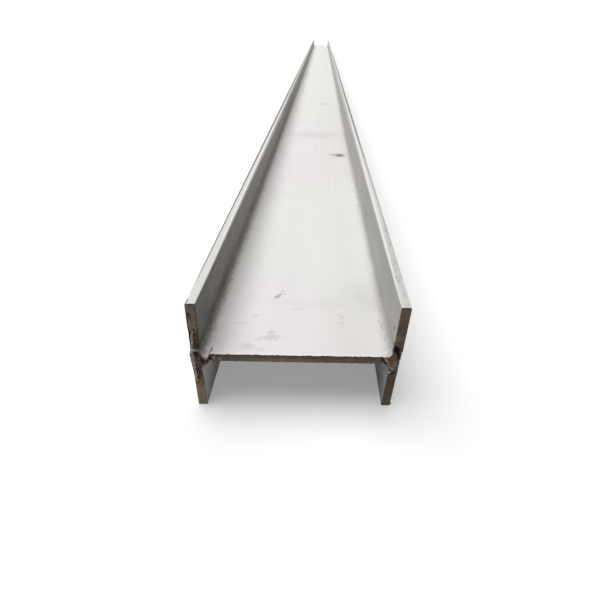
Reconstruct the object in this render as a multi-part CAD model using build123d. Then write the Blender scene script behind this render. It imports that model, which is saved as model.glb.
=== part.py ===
"""Hot-rolled steel H-beam, a stock length lying on its flange toes with the web level.

X runs across the section from flange to flange, Y along the length, Z up.
The origin is on the floor, under the middle of the beam. Millimetres.
The end at -Y was parted with a cutting torch, and the end at +Y with a saw.
"""

import os

from build123d import *

# Rolled section
SECTION_DEPTH = 207.0  # over both flanges
FLANGE_WIDTH = 134.0  # toe to toe
FLANGE_THICKNESS = 9.6
WEB_THICKNESS = 6.3
ROOT_RADIUS = 8.9  # where the web runs into a flange
TOE_RADIUS = 1.2  # rolled corner along each flange toe

# Stock
LENGTH = 6000.0  # between the foremost points of the two ends

# Torch-cut end: the torch went over the section in several passes that don't quite meet.
# A recess is how far a pass would lie behind the foremost point at the left flange's outer face.
CUT_OUT_OF_SQUARE = 12.0  # how much further back the cut lies at the right flange's outer face
LEFT_TOE_RECESS = 6.9  # upper half of the left flange, at its toe
LEFT_STEP_RECESS = 4.1  # the same half, where it leans forward to the lip
LEFT_LOWER_RECESS = 4.8
LEFT_ROOT_RECESS = 2.2  # the thick left root was cut last and stands out beyond the web
LEFT_ROOT_WIDTH = 6.6  # how far that root reaches from its flange
WEB_RECESS = 8.2
RIGHT_TOE_RECESS = 7.2  # upper half of the right flange, at its toe
RIGHT_STEP_RECESS = 4.7  # the same half, where it leans forward to the nugget
RIGHT_LOWER_RECESS = 6.5

# Lip on the left flange: it slopes out to a crest beside the web, and runs out further down
LIP_RECESS = 0.0  # at the crest
LIP_ABOVE_WEB = 12.0  # where it starts to slope out
LIP_SLOPE = 6.5  # height from there down to the crest
LIP_LENGTH = 40.5  # from the crest down

# Nugget left standing on the right root, with a gap before the end of the web
NUGGET_RECESS = 3.2
NUGGET_HEIGHT = 28.0
NUGGET_GAP = 2.5
NUGGET_MARGIN = 3.0  # width of the flange's outer skin beside it

# Gouge where the torch dwelt above the nugget, and the crevice that runs down from it
GOUGE_RADIUS = 5.5
GOUGE_DEPTH = 3.5
GOUGE_ABOVE_ROOT = 4.5
CREVICE_RADIUS = 1.6

OVERRUN = 20.0  # how far every cut reaches past the steel

# Places that follow from the sizes above
OUTER_FACE_X = SECTION_DEPTH / 2
INNER_FACE_X = OUTER_FACE_X - FLANGE_THICKNESS
WEB_FLAT_X = INNER_FACE_X - ROOT_RADIUS
WEB_LEVEL = FLANGE_WIDTH / 2
WEB_TOP = WEB_LEVEL + WEB_THICKNESS / 2
ROOT_TOP = WEB_TOP + ROOT_RADIUS
LEFT_ROOT_EDGE = LEFT_ROOT_WIDTH - INNER_FACE_X
LIP_TOP = WEB_TOP + LIP_ABOVE_WEB
LIP_CREST = LIP_TOP - LIP_SLOPE
LIP_FOOT = LIP_CREST - LIP_LENGTH
NUGGET_LEFT = WEB_FLAT_X + NUGGET_GAP
NUGGET_RIGHT = OUTER_FACE_X - NUGGET_MARGIN
NUGGET_BOTTOM = WEB_LEVEL - NUGGET_HEIGHT / 2
NUGGET_TOP = WEB_LEVEL + NUGGET_HEIGHT / 2
TORCH_END_Y = -LENGTH / 2
SAWN_END_Y = LENGTH / 2


def rolled_bar():
    """The H-section with its root and toe radii, run out to the full length."""
    with BuildPart() as bar:
        with BuildSketch(Plane.XZ.offset(-SAWN_END_Y)) as section:
            flange_x = OUTER_FACE_X - FLANGE_THICKNESS / 2
            with Locations((-flange_x, WEB_LEVEL), (flange_x, WEB_LEVEL)):
                Rectangle(FLANGE_THICKNESS, FLANGE_WIDTH)
            with Locations((0, WEB_LEVEL)):
                Rectangle(2 * INNER_FACE_X, WEB_THICKNESS)
            corners = section.vertices()
            toes = corners.group_by(Axis.Y)[0] + corners.group_by(Axis.Y)[-1]
            roots = [corner for corner in corners if corner not in toes]
            fillet(roots, ROOT_RADIUS)
            fillet(toes, TOE_RADIUS)
        extrude(amount=LENGTH)
    return bar.part


def torch_face_y(x, recess):
    """Where a pass of the torch left the end face at x."""
    return TORCH_END_Y + recess + CUT_OUT_OF_SQUARE * (x + OUTER_FACE_X) / SECTION_DEPTH


def torch_pass(left, right, bottom, top, low_recess, high_recess):
    """What one pass burns away: everything in front of its own skewed and leaning plane."""
    front = TORCH_END_Y - OVERRUN
    with BuildPart() as waste:
        for level, recess in ((bottom, low_recess), (top, high_recess)):
            corners = [
                (left, front),
                (right, front),
                (right, torch_face_y(right, recess)),
                (left, torch_face_y(left, recess)),
            ]
            with BuildSketch(Plane.XY.offset(level)):
                Polygon(*corners, align=None)
        loft(ruled=True)
    return waste.part


def right_upper_recess(z):
    """Recess of the leaning pass over the upper half of the right flange."""
    lean = (RIGHT_TOE_RECESS - RIGHT_STEP_RECESS) / (FLANGE_WIDTH - NUGGET_TOP)
    return RIGHT_STEP_RECESS + lean * (z - NUGGET_TOP)


def left_upper_recess(z):
    """Recess of the leaning pass over the upper half of the left flange."""
    lean = (LEFT_TOE_RECESS - LEFT_STEP_RECESS) / (FLANGE_WIDTH - LIP_TOP)
    return LEFT_STEP_RECESS + lean * (z - LIP_TOP)


def torch_passes():
    """The passes over the left flange, its root, the web, the nugget and the right flange."""
    below, above = -OVERRUN, FLANGE_WIDTH + OVERRUN
    outside = OUTER_FACE_X + OVERRUN
    left_toe, right_toe = left_upper_recess(above), right_upper_recess(above)
    left_low, right_low = LEFT_LOWER_RECESS, RIGHT_LOWER_RECESS
    return [
        torch_pass(-outside, -INNER_FACE_X, LIP_TOP, above, LEFT_STEP_RECESS, left_toe),
        torch_pass(-outside, -INNER_FACE_X, LIP_CREST, LIP_TOP, LIP_RECESS, LEFT_STEP_RECESS),
        torch_pass(-outside, -INNER_FACE_X, LIP_FOOT, LIP_CREST, left_low, LIP_RECESS),
        torch_pass(-outside, -INNER_FACE_X, below, LIP_FOOT, left_low, left_low),
        torch_pass(-INNER_FACE_X, LEFT_ROOT_EDGE, below, above, LEFT_ROOT_RECESS, LEFT_ROOT_RECESS),
        torch_pass(LEFT_ROOT_EDGE, NUGGET_LEFT, below, above, WEB_RECESS, WEB_RECESS),
        torch_pass(NUGGET_LEFT, NUGGET_RIGHT, NUGGET_BOTTOM, NUGGET_TOP, NUGGET_RECESS, NUGGET_RECESS),
        torch_pass(NUGGET_LEFT, outside, NUGGET_TOP, above, RIGHT_STEP_RECESS, right_toe),
        torch_pass(NUGGET_LEFT, NUGGET_RIGHT, below, NUGGET_BOTTOM, right_low, right_low),
        torch_pass(NUGGET_RIGHT, outside, below, NUGGET_TOP, right_low, right_low),
    ]


def gouge_mouth():
    """The middle of the gouge, on the end face."""
    x = INNER_FACE_X + FLANGE_THICKNESS / 2
    z = ROOT_TOP + GOUGE_ABOVE_ROOT
    return Vector(x, torch_face_y(x, right_upper_recess(z)), z)


def gouge():
    """A dish burnt into the end face of the right flange, above the nugget."""
    centre = gouge_mouth() + Vector(0, GOUGE_DEPTH - GOUGE_RADIUS, 0)
    return Plane(centre, z_dir=(1, 0, 0)) * Sphere(GOUGE_RADIUS)


def crevice():
    """A groove from the gouge down beside the nugget, to the outer face at the level of the web."""
    top = gouge_mouth()
    foot = Vector(OUTER_FACE_X, torch_face_y(OUTER_FACE_X, RIGHT_LOWER_RECESS), WEB_LEVEL)
    run = foot - top
    return Plane(top + run / 2, z_dir=run) * Cylinder(CREVICE_RADIUS, run.length)


def h_beam():
    """The stock length with its torch-cut end."""
    beam = rolled_bar() - torch_passes() - gouge() - crevice()
    return beam.solid()


os.makedirs("parts", exist_ok=True)
export_step(h_beam(), "parts/h_beam.step")
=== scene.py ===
"""A stock length of galvanised H-beam on a pale floor, seen from its torch-cut end.

Metres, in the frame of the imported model: X across the section, Y along the length, Z up.
The torch-cut end is at -Y, and the sawn end at +Y. A "place" is a distance behind the torch-cut end.
"""

import math

import bpy
import numpy as np
from mathutils import Matrix, Vector, noise


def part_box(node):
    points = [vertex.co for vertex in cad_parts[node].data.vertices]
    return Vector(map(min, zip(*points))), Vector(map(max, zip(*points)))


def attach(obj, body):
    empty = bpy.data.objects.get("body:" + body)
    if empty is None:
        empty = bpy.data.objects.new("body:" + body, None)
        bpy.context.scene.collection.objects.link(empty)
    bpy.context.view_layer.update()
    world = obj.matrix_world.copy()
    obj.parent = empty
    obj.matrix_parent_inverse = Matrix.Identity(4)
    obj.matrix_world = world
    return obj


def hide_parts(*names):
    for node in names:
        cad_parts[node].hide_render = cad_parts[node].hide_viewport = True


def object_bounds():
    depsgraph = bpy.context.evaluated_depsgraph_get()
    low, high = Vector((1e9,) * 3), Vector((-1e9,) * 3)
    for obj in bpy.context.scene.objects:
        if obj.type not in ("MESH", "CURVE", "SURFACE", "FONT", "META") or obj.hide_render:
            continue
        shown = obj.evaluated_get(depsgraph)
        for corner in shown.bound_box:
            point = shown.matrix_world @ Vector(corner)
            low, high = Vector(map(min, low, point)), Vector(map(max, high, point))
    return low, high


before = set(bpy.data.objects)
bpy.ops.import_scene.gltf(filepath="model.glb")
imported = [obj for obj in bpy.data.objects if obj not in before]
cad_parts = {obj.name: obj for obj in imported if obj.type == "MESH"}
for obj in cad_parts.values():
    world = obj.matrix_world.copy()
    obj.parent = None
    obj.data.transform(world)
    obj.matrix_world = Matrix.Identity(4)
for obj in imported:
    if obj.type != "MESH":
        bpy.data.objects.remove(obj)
CAD_LOW, CAD_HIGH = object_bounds()
MM = 0.001
DEGREE = math.pi / 180

# Rolled section
BEAM_LOW, BEAM_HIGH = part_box("h_beam")
SECTION_DEPTH = BEAM_HIGH.x - BEAM_LOW.x
FLANGE_WIDTH = BEAM_HIGH.z - BEAM_LOW.z
LENGTH = BEAM_HIGH.y - BEAM_LOW.y
FLANGE_THICKNESS = 9.6 * MM
WEB_THICKNESS = 6.3 * MM
ROOT_RADIUS = 8.9 * MM
TOE_RADIUS = 1.2 * MM

OUTER_X = SECTION_DEPTH / 2
INNER_X = OUTER_X - FLANGE_THICKNESS
FLAT_X = INNER_X - ROOT_RADIUS
WEB_LEVEL = FLANGE_WIDTH / 2
WEB_TOP = WEB_LEVEL + WEB_THICKNESS / 2
ROOT_TOP = WEB_TOP + ROOT_RADIUS
ROOT_BOTTOM = FLANGE_WIDTH - ROOT_TOP
TORCH_END_Y = BEAM_LOW.y
SAWN_END_Y = BEAM_HIGH.y

# Torch-cut end: how far each pass would lie behind the foremost point at the left flange's outer face
CUT_OUT_OF_SQUARE = 12.0 * MM
LEFT_TOE_RECESS = 6.9 * MM
LEFT_STEP_RECESS = 4.1 * MM
LEFT_LOWER_RECESS = 4.8 * MM
LEFT_ROOT_RECESS = 2.2 * MM
LEFT_ROOT_EDGE = 6.6 * MM - INNER_X
WEB_RECESS = 8.2 * MM
WEB_TOP_FURTHER_BACK = 0.3 * MM  # the end of the web slopes a little
WEB_FOOT_FURTHER_OUT = 1.4 * MM
RIGHT_TOE_RECESS = 7.2 * MM
RIGHT_STEP_RECESS = 4.7 * MM
RIGHT_LOWER_RECESS = 6.5 * MM
END_FADE = 80.0 * MM  # how far behind the end the rings take to stand square

# Lip on the left flange: it slopes out from its top to its crest, and runs out at its foot
LIP_RECESS = 0.0
LIP_TOP = WEB_TOP + 12.0 * MM
LIP_CREST = LIP_TOP - 6.5 * MM
LIP_FOOT = LIP_CREST - 40.5 * MM

# Nugget on the right root, with the gouge and the crevice beside it: x and z of the outline
NUGGET_RECESS = 3.2 * MM
NUGGET_TOP = WEB_LEVEL + 14.0 * MM
NUGGET_CROWN = 1.4 * MM
NUGGET_CROWN_REACH = 5.0 * MM
NUGGET_EDGE = (-0.4 * MM, 0.8 * MM)  # inside the outline, where its side rises
NUGGET_OUTLINE = ((86.4, 72.2), (95.5, 56.5), (97.8, 53.5), (101.6, 66.0), (99.6, 77.0), (94.5, 81.5))
GOUGE_X = OUTER_X - 6.2 * MM
GOUGE_Z = ROOT_TOP + 4.5 * MM
GOUGE_RADIUS = 5.5 * MM
GOUGE_DEPTH = 3.5 * MM
CREVICE_RADIUS = 1.7 * MM
CREVICE_FOOT = (OUTER_X - 0.8 * MM, WEB_LEVEL - 1.0 * MM)
WEB_GAP_X = FLAT_X + 1.3 * MM
WEB_GAP_DEPTH = 3.0 * MM
WEB_GAP_HALF = 1.4 * MM
WEB_GAP_ENDS_Z = (WEB_LEVEL, WEB_TOP - 0.5 * MM)

# Relief of the burnt face: drag lines, lumps and grit
DRAG_PITCH = 2.1 * MM
DRAG_DEPTH = 0.05 * MM
DRAG_LEAN = 0.25
DRAG_WANDER = 1.5 * MM
DRAG_WANDER_SIZE = 9.0 * MM
LUMP_HEIGHT = 0.22 * MM
LUMP_SIZE = 3.2 * MM
GRIT_HEIGHT = 0.09 * MM
GRIT_SIZE = 1.3 * MM

# How finely the section and the length are divided
TOE_STEPS = 4
PLAIN_ROW = 1.15 * MM
LIP_ROW = 0.45 * MM
FLANGE_STEPS = 13
FILLET_STEPS = 20
WEB_STEPS = 136
SHARP = 0.15 * MM  # half the width of a step between two passes
FIRST_RING = 0.6 * MM
RING_GROWTH = 1.17
WIDEST_RING = 220.0 * MM


def smooth(low, high, value):
    """0 at low, 1 at high, and a soft rise between them."""
    share = np.clip((value - low) / (high - low), 0.0, 1.0)
    return share * share * (3.0 - 2.0 * share)


def bell(distance, reach):
    """1 in the middle, and 0 from reach outwards."""
    return 1.0 - smooth(0.0, reach, np.abs(distance))


def lean(value, low, at_low, high, at_high):
    """A straight line through two points."""
    return at_low + (at_high - at_low) * (value - low) / (high - low)


def rough(x, y, z, size, seed):
    """Noise from about -1 to 1 at each place, with lumps of that size."""
    shift = Vector((seed * 7.31, seed * 3.17, seed * 5.73))
    places = np.column_stack(np.broadcast_arrays(x, y, z)) / size
    return np.array([noise.noise(Vector(place) + shift) for place in places])


# The section as a grid of four-sided faces, in X and Z


def flange_levels():
    """(height, how far the sides are drawn in) of each row of a flange, and the rows where the roots end."""
    arc = []
    for step in range(TOE_STEPS + 1):
        angle = math.pi / 2 * step / TOE_STEPS
        arc.append((TOE_RADIUS * (1 - math.cos(angle)), TOE_RADIUS * (1 - math.sin(angle))))
    stretches = (
        (TOE_RADIUS, ROOT_BOTTOM, PLAIN_ROW),
        (ROOT_BOTTOM, WEB_TOP, PLAIN_ROW),
        (WEB_TOP, ROOT_TOP, LIP_ROW),
        (ROOT_TOP, LIP_TOP, LIP_ROW),
        (LIP_TOP, FLANGE_WIDTH - TOE_RADIUS, PLAIN_ROW),
    )
    heights = []
    for low, high, step in stretches:
        heights += np.linspace(low, high, round((high - low) / step) + 1)[1:].tolist()
    first = len(arc) + heights.index(ROOT_BOTTOM)
    last = len(arc) + heights.index(ROOT_TOP)
    straight = [(z, 0.0) for z in heights[:-1]]
    upper_arc = [(FLANGE_WIDTH - z, inset) for z, inset in reversed(arc)]
    return arc + straight + upper_arc, first, last


def web_columns():
    """(x, half height) of each column of the web, from flange to flange."""
    fillet = []
    for step in range(FILLET_STEPS + 1):
        angle = math.pi / 2 * step / FILLET_STEPS
        x = -FLAT_X - ROOT_RADIUS * math.cos(angle)
        fillet.append((x, WEB_THICKNESS / 2 + ROOT_RADIUS * (1 - math.sin(angle))))
    beside = 2 * SHARP
    flat = [(x, WEB_THICKNESS / 2) for x in np.linspace(beside - FLAT_X, FLAT_X - beside, WEB_STEPS)]
    return fillet + flat + [(-x, half) for x, half in reversed(fillet)]


def section_grid():
    """Points of the section and its faces, with each face's corners anticlockwise as seen from -Y."""
    levels, first, last = flange_levels()
    shares = np.linspace(0.0, 1.0, FLANGE_STEPS + 1)
    points, faces = [], []

    def add_point(x, z):
        points.append((x, z))
        return len(points) - 1

    def add_flange(side):
        rows = []
        for z, inset in levels:
            depths = inset + shares * (FLANGE_THICKNESS - 2 * inset)
            rows.append([add_point(side * (OUTER_X - depth), z) for depth in depths])
        for low, high in zip(rows, rows[1:]):
            for face in zip(low, low[1:], high[1:], high):
                faces.append(face if side < 0 else face[::-1])
        return [row[-1] for row in rows[first:last + 1]]

    inner_left = add_flange(-1)
    inner_right = add_flange(1)
    columns = [inner_left]
    for x, half in web_columns()[1:-1]:
        heights = [(z - WEB_LEVEL) / (ROOT_TOP - WEB_LEVEL) * half for z, _ in levels[first:last + 1]]
        columns.append([add_point(x, WEB_LEVEL + height) for height in heights])
    columns.append(inner_right)
    for here, there in zip(columns, columns[1:]):
        faces += zip(here, there, there[1:], here[1:])
    return np.array(points), faces


def outline_of(faces):
    """The points round the edge of the section, in order."""
    edges = {(a, b) for face in faces for a, b in zip(face, face[1:] + face[:1])}
    follows = {a: b for a, b in edges if (b, a) not in edges}
    ring = [min(follows)]
    while follows[ring[-1]] != ring[0]:
        ring.append(follows[ring[-1]])
    return np.array(ring)


# The torch-cut end, as a depth behind the foremost point


def inside_nugget(x, z):
    """How far a point lies inside the outline of the nugget."""
    corners = np.array(NUGGET_OUTLINE) * MM
    inside = np.full(len(x), np.inf)
    for (x0, z0), (x1, z1) in zip(corners, np.roll(corners, -1, axis=0)):
        across = (x1 - x0) * (z - z0) - (z1 - z0) * (x - x0)
        inside = np.minimum(inside, across / math.hypot(x1 - x0, z1 - z0))
    return inside


def crevice_distance(x, z):
    """Distance from the line that runs from the gouge down to the outer face."""
    top, foot = np.array((GOUGE_X, GOUGE_Z)), np.array(CREVICE_FOOT)
    run = foot - top
    share = np.clip(((x - top[0]) * run[0] + (z - top[1]) * run[1]) / (run @ run), 0.0, 1.0)
    return np.hypot(x - top[0] - share * run[0], z - top[1] - share * run[1])


def pass_depth(x, z):
    """The stepped and leaning planes that the passes of the torch left."""
    upper_left = lean(z, LIP_TOP, LEFT_STEP_RECESS, FLANGE_WIDTH, LEFT_TOE_RECESS)
    slope = lean(z, LIP_CREST, LIP_RECESS, LIP_TOP, LEFT_STEP_RECESS)
    lip = lean(z, LIP_FOOT, LEFT_LOWER_RECESS, LIP_CREST, LIP_RECESS)
    left = np.select([z > LIP_TOP, z > LIP_CREST, z > LIP_FOOT], [upper_left, slope, lip], LEFT_LOWER_RECESS)
    upper_right = lean(z, NUGGET_TOP, RIGHT_STEP_RECESS, FLANGE_WIDTH, RIGHT_TOE_RECESS)
    right = np.where(z > NUGGET_TOP, upper_right, RIGHT_LOWER_RECESS)
    inside = inside_nugget(x, z)
    on_nugget = smooth(*NUGGET_EDGE, inside)
    crown = NUGGET_CROWN * smooth(0.0, NUGGET_CROWN_REACH, inside)
    right = right + (NUGGET_RECESS - crown - right) * on_nugget
    foot, top = WEB_RECESS - WEB_FOOT_FURTHER_OUT, WEB_RECESS + WEB_TOP_FURTHER_BACK
    web = lean(z, WEB_TOP - WEB_THICKNESS, foot, WEB_TOP, top)
    bounds = [x < -INNER_X + SHARP, x < LEFT_ROOT_EDGE, x < WEB_GAP_X]
    depth = np.select(bounds, [left, np.full(len(x), LEFT_ROOT_RECESS), web], right)
    return depth + CUT_OUT_OF_SQUARE * (x + OUTER_X) / SECTION_DEPTH


# Beads and pits on the end face, in millimetres: x, z, radius, height
END_BUMPS = (
    (95.1, 52.1, 2.1, 2.4),
    (-97.4, 77.0, 3.6, -1.2),
    (-97.1, 53.5, 2.4, -0.8),
    (-98.9, 41.3, 2.2, -0.8),
    (-102.0, 100.5, 2.0, -1.2),
    (-101.2, 121.8, 3.0, -1.6),
)


def end_depth(x, z):
    """The end face: the passes with their drag lines, lumps, gouge, crevice, beads and pits."""
    on_web = np.abs(x) < INNER_X
    along = np.where(on_web, x, z)
    across = np.where(on_web, z, x)
    wander = DRAG_WANDER * rough(x, 0.0, z, DRAG_WANDER_SIZE, 1)
    drag = np.sin((along + wander + DRAG_LEAN * across) * 2 * math.pi / DRAG_PITCH)
    depth = pass_depth(x, z) + DRAG_DEPTH * drag
    depth += LUMP_HEIGHT * rough(x, 0.0, z, LUMP_SIZE, 2) + GRIT_HEIGHT * rough(x, 0.0, z, GRIT_SIZE, 5)
    dish = np.maximum(0.0, GOUGE_RADIUS**2 - (x - GOUGE_X) ** 2 - (z - GOUGE_Z) ** 2)
    depth += np.maximum(0.0, np.sqrt(dish) - GOUGE_RADIUS + GOUGE_DEPTH)
    depth += np.sqrt(np.maximum(0.0, CREVICE_RADIUS**2 - crevice_distance(x, z) ** 2))
    depth += WEB_GAP_DEPTH * bell(x - WEB_GAP_X, WEB_GAP_HALF) * (1.0 - smooth(*WEB_GAP_ENDS_Z, z))
    depth += STRIP_SLOPE * np.maximum(0.0, strip_edges(z)[1] - (x + OUTER_X)) * (x < 0)
    for spot_x, spot_z, radius, height in np.array(END_BUMPS) * MM:
        depth -= height * bell(np.hypot(x - spot_x, z - spot_z), radius)
    return depth - depth.min()


# Pale strips down the left flange, in millimetres: z of the low and the high end,
# each with how far the outer and the inner edge of the strip lie from the outer face
PALE_STRIPS = (
    ((82.0, 0.2, 2.9), (103.5, 2.9, 4.9)),
    ((37.0, 0.5, 2.7), (76.0, 0.9, 4.6)),
)
STRIP_SLOPE = 0.25  # how steeply the face falls back there towards the outer face
TOOTH_DEPTH = 0.6 * MM
TOOTH_SIZE = 1.5 * MM
NOTCH_DEPTH = 0.5 * MM
NOTCH_SIZE = 5.0 * MM
STRIP_OUTER_BLUR = 0.4 * MM
STRIP_INNER_BLUR = 0.5 * MM
STRIP_MOTTLE_SIZE = 1.6 * MM


def strip_edges(z):
    """How far the outer and inner edges of the pale strips lie from the outer face, or 0 beside no strip."""
    teeth = TOOTH_DEPTH * rough(0.0, 0.0, z, TOOTH_SIZE, 3) + NOTCH_DEPTH * rough(0.0, 0.0, z, NOTCH_SIZE, 4)
    outer, inner = np.zeros(len(z)), np.zeros(len(z))
    for low, high in np.array(PALE_STRIPS) * MM:
        here = (z > low[0]) & (z < high[0])
        outer = np.where(here, lean(z, low[0], low[1], high[0], high[1]) + teeth / 2, outer)
        inner = np.where(here, lean(z, low[0], low[2], high[0], high[2]) + teeth, inner)
    return outer, inner


def pale_strip(x, z):
    """The mottled pale strips down the left flange."""
    from_outer = x + OUTER_X
    outer, inner = strip_edges(z)
    past_outer = smooth(outer - STRIP_OUTER_BLUR, outer + STRIP_OUTER_BLUR, from_outer)
    past_inner = smooth(inner - STRIP_INNER_BLUR, inner + STRIP_OUTER_BLUR, from_outer)
    mottled = 0.5 + 0.35 * rough(x, 0.0, z, STRIP_MOTTLE_SIZE, 14)
    return past_outer * (1.0 - past_inner) * (inner > 0) * (x < -INNER_X + SHARP) * mottled


# Ragged spots: the share of the radius that has full strength, and how uneven the rest is
SPOT_CORE_SHARE = 0.3
SPOT_RAGGED_SHARE = 0.45
SPOT_RAGGED_SIZE = 2.2 * MM


def blotch(x, z, spots, seed):
    """Ragged spots on the end face, from x, z and radius in millimetres and a strength each."""
    found = np.zeros(len(x))
    ragged = 1.0 + SPOT_RAGGED_SHARE * rough(x, 0.0, z, SPOT_RAGGED_SIZE, seed)
    for spot_x, spot_z, radius, strength in spots:
        reach = np.hypot(x - spot_x * MM, z - spot_z * MM) / (radius * MM * ragged)
        found = np.maximum(found, strength * (1.0 - smooth(SPOT_CORE_SHARE, 1.0, reach)))
    return found


# Spots on the end face, in millimetres: x, z, radius, strength
# Dark spots: soot, and painted shade below the left root, under and beside the nugget and in the gouge
SOOT_AND_SHADE_SPOTS = (
    (-101.6, 123.4, 1.9, 0.8), (-100.7, 120.9, 1.8, 0.8), (-100.0, 118.6, 1.6, 0.7),
    (-102.0, 102.6, 1.9, 0.95), (-101.9, 99.0, 1.7, 0.95), (-98.0, 104.4, 2.4, 0.6),
    (-96.6, 98.0, 3.6, 0.6), (-96.8, 92.0, 3.8, 0.65), (-97.0, 87.2, 4.0, 0.8), (-97.4, 83.5, 4.4, 0.5),
    (-97.6, 77.4, 3.8, 0.98), (-95.2, 76.4, 3.6, 0.95), (-96.8, 73.4, 3.2, 0.9), (-94.0, 77.8, 2.2, 0.8),
    (-92.3, 68.0, 3.0, 0.95), (-91.4, 65.5, 4.0, 0.8), (-88.5, 66.8, 3.4, 0.75),
    (-95.6, 69.0, 3.4, 0.6), (-96.6, 62.0, 4.0, 0.5), (-97.2, 55.5, 3.8, 0.95), (-96.6, 51.0, 3.4, 0.9),
    (-98.9, 41.3, 2.6, 0.85), (-96.8, 46.5, 4.2, 0.65),
    (-98.4, 77.6, 3.0, 1.0), (-92.9, 68.8, 2.8, 1.0), (-97.6, 63.6, 2.6, 0.95), (-99.4, 54.8, 2.8, 1.0),
    (-99.2, 50.6, 2.2, 0.9), (-99.0, 41.8, 2.8, 1.0), (-95.0, 58.6, 2.0, 0.8), (-95.6, 84.6, 2.4, 0.9),
    (-84.0, 69.4, 2.0, 0.9), (-78.0, 69.2, 2.2, 0.8), (-71.0, 69.2, 2.0, 0.6), (-85.8, 66.0, 2.5, 0.85),
    (94.8, 88.2, 2.8, 0.95), (96.8, 85.4, 3.0, 0.85), (98.8, 81.6, 3.2, 0.9), (99.2, 91.5, 2.4, 0.5),
    (99.8, 77.0, 3.0, 0.9), (100.8, 73.5, 2.4, 0.9), (101.0, 70.2, 2.2, 0.8),
    (88.6, 63.4, 3.4, 0.95), (91.4, 60.0, 3.0, 0.95), (98.4, 50.6, 4.0, 0.9), (95.4, 48.8, 2.6, 0.9),
    (99.0, 38.0, 12.0, 0.3),
)
RUSTY_SPOTS = (
    (93.4, 72.6, 5.5, 1.0), (-95.6, 66.0, 5.5, 0.8), (-96.5, 51.0, 5.0, 0.6), (-95.8, 94.0, 5.0, 0.6),
    (-80.0, 67.0, 8.0, 0.7), (30.0, 67.0, 22.0, 0.45), (70.0, 67.0, 14.0, 0.5),
    (98.0, 94.0, 4.0, 0.6), (98.0, 110.0, 12.0, 0.3), (98.0, 28.0, 16.0, 0.3),
    (-97.0, 58.0, 7.0, 1.0), (-97.4, 45.0, 6.5, 0.9), (96.6, 87.0, 3.6, 0.8),
)
OLIVE_SPOTS = (
    (-98.7, 0.0, 28.0, 1.0), (-98.7, 16.0, 23.0, 1.0), (-98.7, 128.0, 22.0, 0.52), (-99.0, 111.0, 9.0, 0.8),
    (96.0, 98.0, 6.5, 0.5), (98.6, 66.0, 4.5, 0.6), (98.7, 0.0, 16.0, 0.35), (98.7, 126.0, 16.0, 0.25),
)
ASHY_SPOTS = (
    (-102.6, 79.4, 3.0, 0.75), (-101.4, 76.8, 2.4, 0.5), (-83.0, 66.5, 2.6, 0.5), (-76.5, 66.0, 2.4, 0.35),
    (-102.5, 110.6, 1.5, 0.9), (-101.0, 37.4, 1.8, 0.8), (95.4, 60.0, 3.6, 0.55), (88.4, 70.8, 3.0, 0.55),
    (-94.6, 80.2, 2.2, 0.4), (-94.3, 77.8, 2.4, 0.4), (97.6, 70.0, 3.0, 0.2), (-99.2, 81.6, 2.6, 0.16),
)
BEAD_SPOTS = ((95.1, 52.4, 1.8, 1.0), (-102.9, 57.0, 1.0, 0.8), (-102.6, 43.0, 1.2, 0.9))

# Painted highlight: a thin bright line across the slope of the lip, where the edge of the step would catch
# the light, higher at the outer face
LIP_HIGHLIGHT_Z = 80.1 * MM
LIP_HIGHLIGHT_HALF = 0.75 * MM
LIP_HIGHLIGHT_BEND_X = -97.5 * MM
LIP_HIGHLIGHT_RISE = 0.15
LIP_HIGHLIGHT_DIMS_X = (-102.5 * MM, -96.0 * MM)
LIP_HIGHLIGHT_ENDS_X = (-97.0 * MM, -95.5 * MM)
LIP_HIGHLIGHT_WAVER = 0.25 * MM
LIP_HIGHLIGHT_WAVER_SIZE = 2.0 * MM

# Scorched zinc that hangs from the left root over the end face
RUN_OVERHANG = 3.4 * MM
LEAST_OVERHANG = 0.01 * MM
RUN_MIDDLE_X = -FLAT_X - 0.55 * ROOT_RADIUS
RUN_HALF = 0.65 * ROOT_RADIUS
RUN_BESIDE_WEB = 1.1 * ROOT_RADIUS
RUN_ENDS_Z = (ROOT_TOP - 4.0 * MM, ROOT_TOP - 1.0 * MM)


def lip_highlight_line(x, z):
    """The painted highlight along the lip, fading away from the outer face."""
    level = LIP_HIGHLIGHT_Z + LIP_HIGHLIGHT_RISE * np.maximum(0.0, LIP_HIGHLIGHT_BEND_X - x)
    fade = (1.0 - 0.75 * smooth(*LIP_HIGHLIGHT_DIMS_X, x)) * (1.0 - smooth(*LIP_HIGHLIGHT_ENDS_X, x))
    waver = LIP_HIGHLIGHT_WAVER * rough(x, 0.0, z, LIP_HIGHLIGHT_WAVER_SIZE, 7)
    return bell(z - level - waver, LIP_HIGHLIGHT_HALF) * fade


def left_run(x, z):
    """1 where zinc from the left root starts to hang over the end face, and less down to its edge."""
    below_fillet = np.hypot(x + FLAT_X, z - ROOT_TOP) - ROOT_RADIUS
    overhang = RUN_OVERHANG * bell(x - RUN_MIDDLE_X, RUN_HALF)
    reach = below_fillet / np.maximum(overhang, LEAST_OVERHANG)
    beside_web = (np.abs(x + FLAT_X) < RUN_BESIDE_WEB) * (1.0 - smooth(*RUN_ENDS_Z, z))
    return (1.0 - smooth(0.0, 1.0, reach)) * beside_web


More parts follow.
